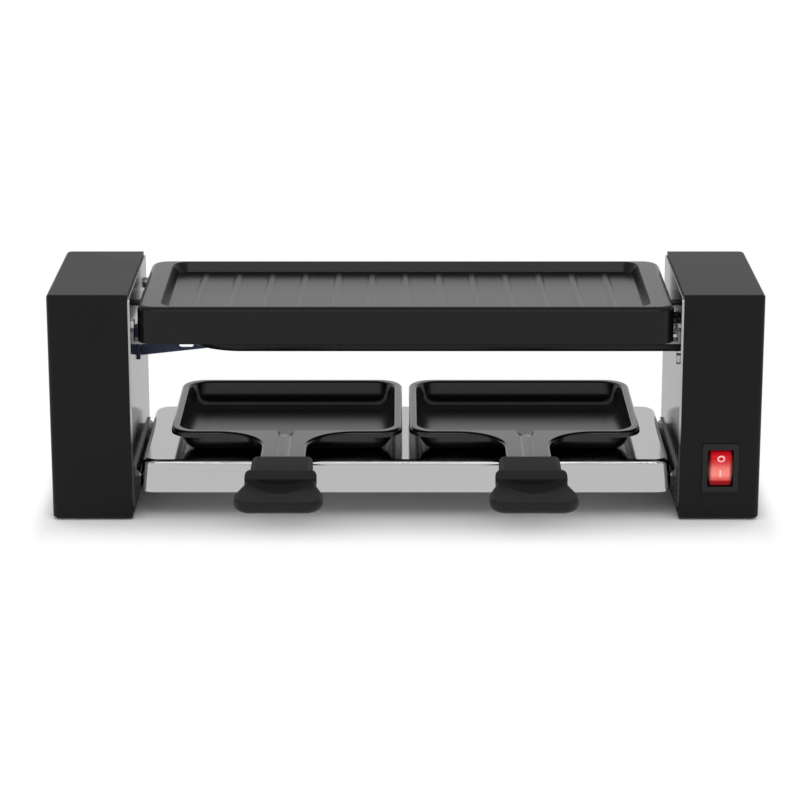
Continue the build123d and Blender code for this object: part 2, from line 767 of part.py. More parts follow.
# space inside the basin of the left pan, cut out of the pan below
with BuildPart() as basin_space:
    with BuildSketch(Plane.XY.offset(pan_rim_top)):
        with Locations((-pan_x, pan_mid_y)):
            RectangleRounded(
                basin_width - pan_sheet * 2, basin_depth - pan_sheet * 2, pan_basin_corner
            )
    extrude(amount=tray_top - pan_rim_top + pan_sheet, taper=pan_taper)
    fillet(basin_space.faces().sort_by(Axis.Z)[0].edges(), radius=pan_bottom_radius)

# left pan: pressed sheet with a rolled rim, a sloped basin and a grooved neck
with BuildPart() as left_pan:
    with BuildSketch(Plane.XY.offset(pan_rim_top)) as rim_outline:
        with Locations((-pan_x, pan_mid_y)):
            RectangleRounded(pan_rim_width, pan_rim_depth, pan_rim_corner)
        with Locations((-pan_x, pan_front_y)):
            Rectangle(neck_width, pan_front_y - neck_tip_y, align=(Align.CENTER, Align.MAX))
        inner_corners = rim_outline.vertices().filter_by(
            lambda v: abs(v.Y - pan_front_y) < pan_sheet and abs(v.X + pan_x) < neck_width
        )
        fillet(inner_corners, radius=neck_fillet)
        tip_corners = rim_outline.vertices().group_by(Axis.Y)[0]
        fillet(tip_corners, radius=neck_tip_corner)
    extrude(amount=-pan_edge_depth)
    fillet(left_pan.faces().sort_by(Axis.Z)[-1].edges(), radius=pan_rim_radius)
    with BuildSketch(Plane.XY.offset(pan_rim_top - pan_edge_depth)):
        add(rim_outline.sketch.moved(Location((0, 0, -pan_edge_depth))))
        offset(amount=-pan_sheet, mode=Mode.REPLACE)
    extrude(amount=pan_edge_depth - pan_sheet, mode=Mode.SUBTRACT)
    with BuildSketch(Plane.XY.offset(pan_rim_top)):
        with Locations((-pan_x, pan_mid_y)):
            RectangleRounded(basin_width, basin_depth, pan_basin_corner + pan_sheet)
    extrude(amount=tray_top - pan_rim_top, taper=pan_taper)
    fillet(
        left_pan.faces().sort_by(Axis.Z)[0].edges(), radius=pan_bottom_radius + pan_sheet
    )
    with BuildSketch(Plane.XZ.offset(-basin_front_y)):
        with Locations((-pan_x, pan_rim_top)):
            Ellipse(groove_half_width + groove_sheet, groove_depth + groove_sheet)
            Rectangle(
                neck_width, neck_width, align=(Align.CENTER, Align.MIN), mode=Mode.SUBTRACT
            )
    extrude(amount=basin_front_y - groove_front_y)
    with BuildSketch(Plane.XZ.offset(-(basin_front_y + pan_lip_radius))):
        with Locations((-pan_x, pan_rim_top)):
            Ellipse(funnel_half_width + groove_sheet, funnel_depth + groove_sheet)
            Rectangle(
                neck_width, neck_width, align=(Align.CENTER, Align.MIN), mode=Mode.SUBTRACT
            )
    with BuildSketch(Plane.XZ.offset(-(basin_front_y - funnel_length))):
        with Locations((-pan_x, pan_rim_top)):
            Ellipse(groove_half_width + groove_sheet, groove_depth + groove_sheet)
            Rectangle(
                neck_width, neck_width, align=(Align.CENTER, Align.MIN), mode=Mode.SUBTRACT
            )
    loft()
    add(basin_space.part, mode=Mode.SUBTRACT)
    basin_lip = left_pan.faces().sort_by(Axis.Z)[-1].inner_wires()
    fillet(basin_lip.edges(), radius=pan_lip_radius)
    with BuildSketch(Plane.XZ.offset(-(basin_front_y + pan_bead))):
        with Locations((-pan_x, pan_rim_top)):
            Ellipse(groove_half_width, groove_depth)
    extrude(amount=basin_front_y + pan_bead - groove_front_y, mode=Mode.SUBTRACT)
    with BuildSketch(Plane.XZ.offset(-(basin_front_y + pan_lip_radius))):
        with Locations((-pan_x, pan_rim_top)):
            Ellipse(funnel_half_width, funnel_depth)
    with BuildSketch(Plane.XZ.offset(-(basin_front_y - funnel_length))):
        with Locations((-pan_x, pan_rim_top)):
            Ellipse(groove_half_width, groove_depth)
    loft(mode=Mode.SUBTRACT)
    with BuildSketch(Plane.XY.offset(pan_rim_top)):
        with Locations((-pan_x, handle_screw_y)):
            Circle(handle_screw_radius + slot_fit)
    extrude(amount=-(pan_edge_depth + pan_edge_depth), mode=Mode.SUBTRACT)
left_pan.part.label = "left_pan"

with BuildPart() as right_pan:
    add(mirror(left_pan.part, about=Plane.YZ, mode=Mode.PRIVATE))
right_pan.part.label = "right_pan"

# left pan handle: paddle, shoulder and collar moulded in one, with a slot for the neck
with BuildPart() as left_pan_handle:
    with BuildSketch(Plane.XY.offset(handle_low)) as paddle_outline:
        with BuildLine():
            Polyline(
                (-pan_x, collar_front_y),
                (-pan_x - shoulder_width * half, collar_front_y),
                (-pan_x - shoulder_width * half, waist_front_y),
                (-pan_x - paddle_width * half, flare_front_y),
                (-pan_x - paddle_width * half, handle_front_y),
                (-pan_x, handle_front_y),
            )
            mirror(about=Plane.YZ.offset(-pan_x))
        make_face()
        fillet(paddle_outline.vertices().group_by(Axis.Y)[0], radius=paddle_corner)
        flare_corners = paddle_outline.vertices().filter_by(
            lambda v: abs(v.Y - flare_front_y) < half
        )
        fillet(flare_corners, radius=paddle_flare_radius)
        waist_corners = paddle_outline.vertices().filter_by(
            lambda v: abs(v.Y - waist_front_y) < half
        )
        fillet(waist_corners, radius=paddle_waist_radius)
    extrude(amount=paddle_top - handle_low)
    fillet(left_pan_handle.faces().sort_by(Axis.Z)[0].edges(), radius=paddle_low_edge)
    fillet(left_pan_handle.faces().sort_by(Axis.Z)[-1].edges(), radius=paddle_top_edge)
    with BuildSketch(Plane.XZ.offset(-collar_front_y)):
        with Locations((-pan_x, (handle_low + handle_top) * half)):
            RectangleRounded(shoulder_width, handle_top - handle_low, collar_radius)
    extrude(amount=shoulder_length + shoulder_slope)
    with BuildSketch(Plane.YZ.offset(-pan_x - shoulder_width)):
        with BuildLine():
            Polyline(
                (shoulder_front_y, handle_top),
                (shoulder_front_y - shoulder_slope, paddle_top),
                (shoulder_front_y - shoulder_slope - shoulder_slope, paddle_top),
                (shoulder_front_y - shoulder_slope - shoulder_slope, handle_top),
                close=True,
            )
        make_face()
    extrude(amount=shoulder_width + shoulder_width, mode=Mode.SUBTRACT)
    with BuildSketch(Plane.XZ.offset(-collar_back_y)):
        with Locations((-pan_x, (handle_low + handle_top) * half)):
            RectangleRounded(collar_width, handle_top - handle_low, collar_radius)
    extrude(amount=collar_length)
    fillet(
        left_pan_handle.faces().sort_by(Axis.Y)[-1].edges(), radius=handle_edge_radius
    )
    with BuildSketch(Plane.XZ.offset(-(shoulder_front_y - shoulder_slope))):
        with BuildLine():
            ThreePointArc(
                (-pan_x - scoop_half_width, paddle_top),
                (-pan_x, paddle_top - scoop_depth),
                (-pan_x + scoop_half_width, paddle_top),
            )
            Polyline(
                (-pan_x + scoop_half_width, paddle_top),
                (-pan_x + scoop_half_width, paddle_top + scoop_depth),
                (-pan_x - scoop_half_width, paddle_top + scoop_depth),
                (-pan_x - scoop_half_width, paddle_top),
            )
        make_face()
    revolve(
        axis=Axis(
            (-pan_x, shoulder_front_y - shoulder_slope, paddle_top - scoop_depth + scoop_radius),
            (left_sign, 0, 0),
        ),
        revolution_arc=scoop_turn,
        mode=Mode.SUBTRACT,
    )
    with BuildSketch(Plane.XZ.offset(-collar_back_y)):
        with Locations((-pan_x, pan_rim_top + slot_fit)):
            Rectangle(
                neck_width + slot_fit + slot_fit, slot_depth, align=(Align.CENTER, Align.MAX)
            )
    extrude(amount=collar_back_y - neck_tip_y + slot_fit, mode=Mode.SUBTRACT)
    with BuildSketch(Plane.XY.offset(handle_low)):
        with Locations((-pan_x, handle_screw_y)):
            Circle(handle_screw_radius + slot_fit)
    extrude(amount=handle_drop - handle_edge_radius, mode=Mode.SUBTRACT)
left_pan_handle.part.label = "left_pan_handle"

with BuildPart() as right_pan_handle:
    add(mirror(left_pan_handle.part, about=Plane.YZ, mode=Mode.PRIVATE))
right_pan_handle.part.label = "right_pan_handle"

# handle screws, driven from below through handle and neck
with BuildPart() as left_handle_screw:
    with BuildSketch(Plane.XY.offset(handle_low)):
        with Locations((-pan_x, handle_screw_y)):
            Circle(handle_screw_head)
    extrude(amount=-screw_head_height)
    chamfer(left_handle_screw.edges().group_by(Axis.Z)[0], length=screw_edge)
    with BuildSketch(Plane.XY.offset(handle_low)):
        with Locations((-pan_x, handle_screw_y)):
            Circle(handle_screw_radius)
    extrude(amount=pan_rim_top - pan_sheet - groove_depth - handle_low)
left_handle_screw.part.label = "left_handle_screw"

with BuildPart() as right_handle_screw:
    add(mirror(left_handle_screw.part, about=Plane.YZ, mode=Mode.PRIVATE))
right_handle_screw.part.label = "right_handle_screw"

# switch frame: bezel outside the front wall, hollow body behind it, with pivot pins
with BuildPart() as switch_frame:
    with BuildSketch(Plane.XZ.offset(-front_y)):
        with Locations((switch_x, switch_z)):
            RectangleRounded(bezel_width, bezel_height, bezel_corner)
    extrude(amount=bezel_thickness)
    fillet(switch_frame.faces().sort_by(Axis.Y)[0].edges(), radius=screw_edge)
    with BuildSketch(Plane.XZ.offset(-front_y)):
        with Locations((switch_x, switch_z)):
            Rectangle(switch_body_width, switch_body_height)
    extrude(amount=-switch_body_depth)
    with BuildSketch(Plane.XZ.offset(-front_y + bezel_thickness)):
        with Locations((switch_x, switch_z)):
            Rectangle(
                rocker_width + rocker_fit * 2,
                (rocker_half_height + rocker_fit) * 2,
            )
    extrude(
        amount=-(switch_body_depth + bezel_thickness - switch_wall), mode=Mode.SUBTRACT
    )
    with BuildSketch(Plane.YZ.offset(switch_x - pivot_length * half)):
        with Locations((front_y + pivot_y, switch_z)):
            Circle(pivot_radius)
    extrude(amount=pivot_length)
switch_frame.part.label = "switch_frame"

# rocker: shallow valley in front, round ends about the pivot, lower half pressed in
rocker_plane = Plane(
    origin=(switch_x - rocker_width * half, front_y + pivot_y, switch_z),
    x_dir=(0, 1, 0),
    z_dir=(1, 0, 0),
).rotated((rocker_tilt, 0, 0))
with BuildPart() as switch_rocker:
    with BuildSketch(rocker_plane):
        Circle(rocker_half_height)
        with Locations((rocker_depth, 0)):
            Rectangle(
                rocker_half_height * 2,
                (rocker_half_height + rocker_fit) * 2,
                align=(Align.MIN, Align.CENTER),
                mode=Mode.SUBTRACT,
            )
        with BuildLine():
            Polyline(
                (-rocker_valley, 0),
                (-rocker_valley - rocker_rise, rocker_half_height),
                (-rocker_half_height - rocker_edge, rocker_half_height),
                (-rocker_half_height - rocker_edge, -rocker_half_height),
                (-rocker_valley - rocker_rise, -rocker_half_height),
                close=True,
            )
        make_face(mode=Mode.SUBTRACT)
        Circle(pivot_radius + pivot_fit, mode=Mode.SUBTRACT)
    extrude(amount=rocker_width)
    fillet(switch_rocker.edges().filter_by(Axis.X).sort_by(Axis.Y)[0], radius=rocker_edge)
    with BuildSketch(Plane.XZ.offset(-(front_y - rocker_half_height))):
        with BuildLine():
            ThreePointArc(
                (switch_x - rocker_end_width * half, switch_z - rocker_half_height),
                (switch_x - rocker_width * half, switch_z),
                (switch_x - rocker_end_width * half, switch_z + rocker_half_height),
            )
            Polyline(
                (switch_x - rocker_end_width * half, switch_z + rocker_half_height),
                (switch_x + rocker_end_width * half, switch_z + rocker_half_height),
            )
            ThreePointArc(
                (switch_x + rocker_end_width * half, switch_z + rocker_half_height),
                (switch_x + rocker_width * half, switch_z),
                (switch_x + rocker_end_width * half, switch_z - rocker_half_height),
            )
            Polyline(
                (switch_x + rocker_end_width * half, switch_z - rocker_half_height),
                (switch_x - rocker_end_width * half, switch_z - rocker_half_height),
            )
        make_face()
    extrude(amount=-(rocker_half_height * 2 + pivot_y), mode=Mode.INTERSECT)
switch_rocker.part.label = "switch_rocker"

# switch tabs: three flat blades behind the switch body
with BuildPart() as switch_tabs:
    with BuildSketch(Plane.XZ.offset(-(front_y + switch_body_depth))):
        with Locations((switch_x, switch_z)):
            with GridLocations(tab_spacing, tab_spacing, 1, 3):
                Rectangle(tab_width, tab_thickness)
    extrude(amount=-tab_length)
switch_tabs.part.label = "switch_tabs"

# terminal block on the right side plate
with BuildPart() as terminal_block:
    with BuildSketch(Plane.YZ.offset(housing_inner_x)):
        with Locations((block_y, block_z)):
            Rectangle(block_depth, block_height)
    extrude(amount=block_width)
    chamfer(terminal_block.edges().filter_by(Axis.X), length=screw_edge)
terminal_block.part.label = "terminal_block"

with BuildPart() as block_screws:
    with BuildSketch(Plane.YZ.offset(housing_inner_x + block_width)):
        with Locations((block_y, block_z)):
            with GridLocations(block_screw_spacing, block_screw_spacing, 2, 1):
                Circle(block_screw_radius)
    extrude(amount=block_screw_height)
block_screws.part.label = "block_screws"

# wires: heater to switch, switch to terminal block, terminal block to heater
pin_end_x = tube_end_x + pin_seal_length + pin_length
tab_end_y = front_y + switch_body_depth + tab_length
with BuildPart() as switched_wire:
    with BuildLine():
        FilletPolyline(
            (pin_end_x, body_y - tube_leg_y, tube_z),
            (pin_end_x + wire_run, body_y - tube_leg_y, tube_z),
            (pin_end_x + wire_run, tab_end_y + wire_run, switch_z + tab_spacing),
            (switch_x, tab_end_y + wire_run, switch_z + tab_spacing),
            (switch_x, tab_end_y, switch_z + tab_spacing),
            radius=wire_bend,
        )
    with BuildSketch(Plane.YZ.offset(pin_end_x)):
        with Locations((body_y - tube_leg_y, tube_z)):
            Circle(wire_radius)
    sweep()
switched_wire.part.label = "switched_wire"

with BuildPart() as live_wire:
    with BuildLine():
        FilletPolyline(
            (switch_x, tab_end_y, switch_z),
            (switch_x, tab_end_y + wire_run, switch_z),
            (block_x, block_y - block_screw_spacing * half, switch_z),
            (block_x, block_y - block_screw_spacing * half, block_z - block_height * half),
            radius=wire_bend,
        )
    with BuildSketch(Plane.XZ.offset(-tab_end_y)):
        with Locations((switch_x, switch_z)):
            Circle(wire_radius)
    sweep()
live_wire.part.label = "live_wire"

with BuildPart() as neutral_wire:
    with BuildLine():
        FilletPolyline(
            (pin_end_x, body_y + tube_leg_y, tube_z),
            (pin_end_x + wire_run, body_y + tube_leg_y, tube_z),
            (pin_end_x + wire_run, block_y + block_screw_spacing * half, wire_drop_z),
            (block_x, block_y + block_screw_spacing * half, wire_drop_z),
            (block_x, block_y + block_screw_spacing * half, block_z + block_height * half),
            radius=wire_bend,
        )
    with BuildSketch(Plane.YZ.offset(pin_end_x)):
        with Locations((body_y + tube_leg_y, tube_z)):
            Circle(wire_radius)
    sweep()
neutral_wire.part.label = "neutral_wire"

# cord inlet bush: flange outside the back wall, neck through it, collar inside
with BuildPart() as cord_bush:
    with BuildSketch(Plane.XZ.offset(-back_y)):
        with Locations((switch_x, gland_z)):
            Circle(gland_radius)
    extrude(amount=-gland_out, taper=gland_taper)
    with BuildSketch(Plane.XZ.offset(-back_y)):
        with Locations((switch_x, gland_z)):
            Circle(gland_neck_radius)
    extrude(amount=wall)
    with BuildSketch(Plane.XZ.offset(-(back_y - wall))):
        with Locations((switch_x, gland_z)):
            Circle(gland_inner_radius)
    extrude(amount=gland_in)
    with BuildSketch(Plane.XZ.offset(-(back_y + gland_out))):
        with Locations((switch_x, gland_z)):
            Circle(gland_bore)
    extrude(amount=gland_out + wall + gland_in, mode=Mode.SUBTRACT)
cord_bush.part.label = "cord_bush"

export_step(left_housing.part, "parts/left_housing.step")
export_step(right_housing.part, "parts/right_housing.step")
export_step(left_feet.part, "parts/left_feet.step")
export_step(right_feet.part, "parts/right_feet.step")
export_step(left_side_plate.part, "parts/left_side_plate.step")
export_step(right_side_plate.part, "parts/right_side_plate.step")
export_step(left_plate_screws.part, "parts/left_plate_screws.step")
export_step(right_plate_screws.part, "parts/right_plate_screws.step")
export_step(drip_tray.part, "parts/drip_tray.step")
export_step(tray_rivets.part, "parts/tray_rivets.step")
export_step(grill_plate.part, "parts/grill_plate.step")
export_step(left_plate_rests.part, "parts/left_plate_rests.step")
export_step(right_plate_rests.part, "parts/right_plate_rests.step")
export_step(heating_element.part, "parts/heating_element.step")
export_step(heater_pins.part, "parts/heater_pins.step")
export_step(heater_bracket.part, "parts/heater_bracket.step")
export_step(bracket_rivets.part, "parts/bracket_rivets.step")
export_step(heater_flange.part, "parts/heater_flange.step")
export_step(flange_screws.part, "parts/flange_screws.step")
export_step(left_pan.part, "parts/left_pan.step")
export_step(right_pan.part, "parts/right_pan.step")
export_step(left_pan_handle.part, "parts/left_pan_handle.step")
export_step(right_pan_handle.part, "parts/right_pan_handle.step")
export_step(left_handle_screw.part, "parts/left_handle_screw.step")
export_step(right_handle_screw.part, "parts/right_handle_screw.step")
export_step(switch_frame.part, "parts/switch_frame.step")
export_step(switch_rocker.part, "parts/switch_rocker.step")
export_step(switch_tabs.part, "parts/switch_tabs.step")
export_step(terminal_block.part, "parts/terminal_block.step")
export_step(block_screws.part, "parts/block_screws.step")
export_step(switched_wire.part, "parts/switched_wire.step")
export_step(live_wire.part, "parts/live_wire.step")
export_step(neutral_wire.part, "parts/neutral_wire.step")
export_step(cord_bush.part, "parts/cord_bush.step")
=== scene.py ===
import math

import bpy
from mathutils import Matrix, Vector


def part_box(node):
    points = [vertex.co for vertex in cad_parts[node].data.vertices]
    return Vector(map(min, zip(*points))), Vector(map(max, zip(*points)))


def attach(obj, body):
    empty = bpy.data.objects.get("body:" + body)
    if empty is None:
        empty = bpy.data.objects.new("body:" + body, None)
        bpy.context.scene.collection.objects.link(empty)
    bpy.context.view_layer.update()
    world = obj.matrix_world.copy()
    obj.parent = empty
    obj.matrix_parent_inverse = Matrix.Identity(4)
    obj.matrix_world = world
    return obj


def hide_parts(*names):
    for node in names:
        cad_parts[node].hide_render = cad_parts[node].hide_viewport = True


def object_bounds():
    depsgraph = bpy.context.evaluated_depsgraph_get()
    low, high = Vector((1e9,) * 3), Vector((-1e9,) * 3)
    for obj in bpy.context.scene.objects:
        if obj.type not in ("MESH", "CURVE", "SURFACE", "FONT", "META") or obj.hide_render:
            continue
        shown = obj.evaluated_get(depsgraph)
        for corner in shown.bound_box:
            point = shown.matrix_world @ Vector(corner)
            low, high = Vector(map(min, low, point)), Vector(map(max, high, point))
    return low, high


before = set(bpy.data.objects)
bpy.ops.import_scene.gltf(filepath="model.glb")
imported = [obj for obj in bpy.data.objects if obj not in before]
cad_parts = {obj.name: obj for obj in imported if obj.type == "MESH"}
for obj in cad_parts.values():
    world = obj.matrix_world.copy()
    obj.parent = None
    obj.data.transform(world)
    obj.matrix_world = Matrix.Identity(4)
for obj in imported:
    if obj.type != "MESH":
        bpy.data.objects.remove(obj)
cad_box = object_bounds()
scene = bpy.context.scene
cad = {name: bpy.data.objects[name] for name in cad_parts}


# Camera: a long lens looks at the grill from the front and from a little above. Its
# distance is counted from the middle of the two end housings.
camera_lens = 131.0
camera_sensor = 36.0
camera_near, camera_far = 0.05, 30.0
camera_aside = -0.0029
camera_distance = 1.462
camera_height = 0.465
camera_tip = 15.86
housing_low, housing_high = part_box("left_housing")
housing_middle_y = (housing_low[1] + housing_high[1]) / 2
camera_data = bpy.data.cameras.new("camera")
camera_data.lens = camera_lens
camera_data.sensor_width = camera_sensor
camera_data.clip_start = camera_near
camera_data.clip_end = camera_far
camera = bpy.data.objects.new("camera", camera_data)
camera.location = (camera_aside, housing_middle_y - camera_distance, camera_height)
camera.rotation_euler = (math.radians(90.0 - camera_tip), 0.0, 0.0)
scene.collection.objects.link(camera)
scene.camera = camera
scene.view_settings.view_transform = "Standard"


# White sweep: a wide matt white floor that keeps the grill's soft shadow close by and fades
# into plain white a few centimetres away from it.
floor_size = 24.0
floor_tone = 0.92
floor_rough = 0.9
floor_specular = 0.1
front_fade = 0.045
end_fade = 0.012


def add_node(tree, kind, inputs=None, **settings):
    # inputs maps a socket's name or number to plain numbers or to another node's output
    added = tree.nodes.new("ShaderNode" + kind)
    for setting, value in settings.items():
        setattr(added, setting, value)
    for socket, value in (inputs or {}).items():
        if isinstance(value, bpy.types.NodeSocket):
            tree.links.new(value, added.inputs[socket])
        else:
            added.inputs[socket].default_value = value
    return added


def reckon(tree, operation, *values):
    sums = add_node(tree, "Math", dict(enumerate(values)), operation=operation)
    return sums.outputs["Value"]


def change(tree, value, low, high, at_low, at_high, **settings):
    # at_low up to the value low, at_high from the value high, and even steps between
    inputs = {
        "Value": value,
        "From Min": low,
        "From Max": high,
        "To Min": at_low,
        "To Max": at_high,
    }
    return add_node(tree, "MapRange", inputs, **settings).outputs["Result"]


def shown_to_eye(tree):
    # 1 for the camera, for mirrored and for refracted views, and 0 for light on the pieces
    path = add_node(tree, "LightPath").outputs
    direct = reckon(tree, "MAXIMUM", path["Is Camera Ray"], path["Is Glossy Ray"])
    return reckon(tree, "MAXIMUM", direct, path["Is Transmission Ray"])


bpy.ops.object.select_all(action="DESELECT")
bpy.ops.mesh.primitive_plane_add(size=floor_size, location=(0.0, 0.0, 0.0))
floor = bpy.context.object
floor.name = "floor"
floor_white = bpy.data.materials.new("floor_white")
floor_white.use_nodes = True
floor_tree = floor_white.node_tree
floor_shader = floor_tree.nodes["Principled BSDF"]
floor_shader.inputs["Base Color"].default_value = (floor_tone, floor_tone, floor_tone, 1.0)
floor_shader.inputs["Roughness"].default_value = floor_rough
floor_shader.inputs["Specular IOR Level"].default_value = floor_specular
# the distance outside the housings' outline, counted in fade widths
grill_half = (Vector(cad_box[1]) - Vector(cad_box[0])) / 2
body_half_y = (housing_high[1] - housing_low[1]) / 2
floor_place = add_node(floor_tree, "TexCoord").outputs["Object"]
for operation, other in (
    ("SUBTRACT", (0.0, housing_middle_y, 0.0)),
    ("ABSOLUTE", (0.0, 0.0, 0.0)),
    ("SUBTRACT", (grill_half.x, body_half_y, 0.0)),
    ("MAXIMUM", (0.0, 0.0, 0.0)),
    ("DIVIDE", (end_fade, front_fade, 1.0)),
):
    floor_place = add_node(
        floor_tree, "VectorMath", {0: floor_place, 1: other}, operation=operation
    ).outputs["Vector"]
away = add_node(floor_tree, "VectorMath", {0: floor_place}, operation="LENGTH")
fade = change(
    floor_tree, away.outputs["Value"], 0.0, 1.0, 0.0, 1.0, interpolation_type="SMOOTHSTEP"
)
floor_share = reckon(floor_tree, "MULTIPLY", fade, shown_to_eye(floor_tree))
floor_glow = add_node(floor_tree, "Emission", {"Strength": 1.0})
floor_mix = add_node(
    floor_tree,
    "MixShader",
    {
        "Fac": floor_share,
        1: floor_shader.outputs["BSDF"],
        2: floor_glow.outputs["Emission"],
    },
)
floor_tree.links.new(
    floor_mix.outputs["Shader"], floor_tree.nodes["Material Output"].inputs["Surface"]
)
floor.data.materials.append(floor_white)


# White room: an even white room gives nearly all the light and is what the steel mirrors.
# The wall ends above the grill, and the ceiling over it is dimmer in the reflections. Both
# places are given as the rise of a line of sight over its length.
wall_end, ceiling_start = 0.30, 0.60
ceiling_tone = 0.55
room = bpy.data.worlds.new("white_room")
room.use_nodes = True
room_tree = room.node_tree
room_soft = room_tree.nodes["Background"]
room_soft.inputs["Color"].default_value = (1.0, 1.0, 1.0, 1.0)
room_soft.inputs["Strength"].default_value = 1.0
room_direction = add_node(room_tree, "TexCoord")
room_height = add_node(
    room_tree, "SeparateXYZ", {"Vector": room_direction.outputs["Generated"]}
)
room_fall = change(
    room_tree, room_height.outputs["Z"], wall_end, ceiling_start, 1.0, ceiling_tone
)
room_path = add_node(room_tree, "LightPath")
room_tone = reckon(room_tree, "MAXIMUM", room_path.outputs["Is Camera Ray"], room_fall)
room_white = add_node(room_tree, "Background", {"Color": room_tone, "Strength": 1.0})
room_mix = add_node(
    room_tree,
    "MixShader",
    {
        "Fac": shown_to_eye(room_tree),
        1: room_soft.outputs["Background"],
        2: room_white.outputs["Background"],
    },
)
room_tree.links.new(
    room_mix.outputs["Shader"], room_tree.nodes["World Output"].inputs["Surface"]
)
scene.world = room


# Front light: one long soft lamp in front of the grill and above it, weak beside the light
# of the room.
lamp_width, lamp_height = 1.6, 0.5
lamp_power = 6.0
lamp_place = (0.0, -1.5, 1.7)
lamp_tip = 42.0
front_lamp = bpy.data.lights.new("front_light", "AREA")
front_lamp.shape = "RECTANGLE"
front_lamp.size = lamp_width
front_lamp.size_y = lamp_height
front_lamp.energy = lamp_power
front_light = bpy.data.objects.new("front_light", front_lamp)
front_light.location = lamp_place
front_light.rotation_euler = (math.radians(lamp_tip), 0.0, 0.0)
scene.collection.objects.link(front_light)


# End housings: two moulded housings of satin black plastic with a very fine spark-eroded
# grain. They stand at the ends, and everything else hangs between them.
pit_detail, pit_rough = 3.0, 0.6
cloud_scale, cloud_detail = 14.0, 4.0
pattern_low, pattern_high = 0.2, 0.6


def effect_group(name, settings):
    group = bpy.data.node_groups.new(name, "ShaderNodeTree")
    for label, value in settings:
        kind = "NodeSocketVector" if isinstance(value, tuple) else "NodeSocketFloat"
        socket = group.interface.new_socket(name=label, in_out="INPUT", socket_type=kind)
        socket.default_value = value
    for label, kind in (("Value", "NodeSocketFloat"), ("Normal", "NodeSocketVector")):
        group.interface.new_socket(name=label, in_out="OUTPUT", socket_type=kind)
    group_in = group.nodes.new("NodeGroupInput").outputs
    group_out = group.nodes.new("NodeGroupOutput").inputs
    return group, group_in, group_out


# fine pits of a moulded or sprayed skin, with slow cloudy changes over a few centimetres
grain, grain_in, grain_out = effect_group(
    "surface_grain", (("Scale", 900.0), ("Strength", 0.2), ("Depth", 0.0002))
)
grain_place = add_node(grain, "TexCoord").outputs["Object"]
pits = add_node(
    grain,
    "TexNoise",
    {
        "Vector": grain_place,
        "Scale": grain_in["Scale"],
        "Detail": pit_detail,
        "Roughness": pit_rough,
    },
)
clouds = add_node(
    grain, "TexNoise", {"Vector": grain_place, "Scale": cloud_scale, "Detail": cloud_detail}
)
pit_relief = add_node(
    grain,
    "Bump",
    {
        "Strength": grain_in["Strength"],
        "Distance": grain_in["Depth"],
        "Height": pits.outputs["Fac"],
    },
)
pits_on_clouds = reckon(grain, "MULTIPLY", pits.outputs["Fac"], clouds.outputs["Fac"])
grain.links.new(pits_on_clouds, grain_out["Value"])
grain.links.new(pit_relief.outputs["Normal"], grain_out["Normal"])


def finish(name, dark, light, rough, metal=0.0, specular=0.5, edge=1.0, effect=grain, **settings):
    # the pattern runs from dark to light and, in step, over the two values of rough
    material = bpy.data.materials.new(name)
    material.use_nodes = True
    tree = material.node_tree
    shader = tree.nodes["Principled BSDF"]
    shader.inputs["Metallic"].default_value = metal
    shader.inputs["Specular IOR Level"].default_value = specular
    shader.inputs["Specular Tint"].default_value = (edge, edge, edge, 1.0)
    pattern = add_node(tree, "Group", settings, node_tree=effect)
    tone = add_node(tree, "ValToRGB", {"Fac": pattern.outputs["Value"]})
    first, last = tone.color_ramp.elements
    first.position, last.position = pattern_low, pattern_high
    first.color, last.color = (*dark, 1.0), (*light, 1.0)
    gloss = change(tree, pattern.outputs["Value"], pattern_low, pattern_high, *rough)
    tree.links.new(tone.outputs["Color"], shader.inputs["Base Color"])
    tree.links.new(gloss, shader.inputs["Roughness"])
    tree.links.new(pattern.outputs["Normal"], shader.inputs["Normal"])
    return material


def dress(material, *pieces):
    for piece in pieces:
        piece.data.materials.clear()
        piece.data.materials.append(material)


housing_black = finish(
    "housing_black",
    dark=(0.0060, 0.0064, 0.0072),
    light=(0.0090, 0.0096, 0.0106),
    rough=(0.42, 0.50),
    specular=0.13,
    Scale=1500.0,
    Strength=0.10,
)
dress(housing_black, cad["left_housing"], cad["right_housing"])


# Rubber feet and cord bush: matt black rubber, as four feet pressed into the undersides, and
# as the bush in the back wall that a mains cord passes through.
rubber_black = finish(
    "rubber_black",
    dark=(0.010, 0.010, 0.010),
    light=(0.018, 0.018, 0.018),
    rough=(0.70, 0.85),
    specular=0.3,
    Scale=900.0,
    Strength=0.3,
)
dress(rubber_black, cad["left_feet"], cad["right_feet"], cad["cord_bush"])


# Polished side plates: stainless sheet that closes each housing towards the pans, rolled
# upright and polished nearly to a mirror.
stroke_scale, stroke_detail, stroke_rough = 1.0, 4.0, 0.65
# heights, facings and grey of the painted reflection low on the plates' front edges
painted_reflection_low, painted_reflection_high = 0.040, 0.052
painted_reflection_front, painted_reflection_side = -0.9, -0.6
painted_reflection_dark = 0.045
lines, lines_in, lines_out = effect_group(
    "rolling_lines", (("Stretch", (20.0, 900.0, 900.0)), ("Strength", 0.1), ("Depth", 0.0001))
)
stretched = add_node(
    lines,
    "VectorMath",
    {0: add_node(lines, "TexCoord").outputs["Object"], 1: lines_in["Stretch"]},
    operation="MULTIPLY",
)
strokes = add_node(
    lines,
    "TexNoise",
    {
        "Vector": stretched.outputs["Vector"],
        "Scale": stroke_scale,
        "Detail": stroke_detail,
        "Roughness": stroke_rough,
    },
)
stroke_relief = add_node(
    lines,
    "Bump",
    {
        "Strength": lines_in["Strength"],
        "Distance": lines_in["Depth"],
        "Height": strokes.outputs["Fac"],
    },
)
lines.links.new(strokes.outputs["Fac"], lines_out["Value"])
lines.links.new(stroke_relief.outputs["Normal"], lines_out["Normal"])


def place_axes(tree):
    place = add_node(tree, "TexCoord").outputs["Object"]
    return add_node(tree, "SeparateXYZ", {"Vector": place}).outputs


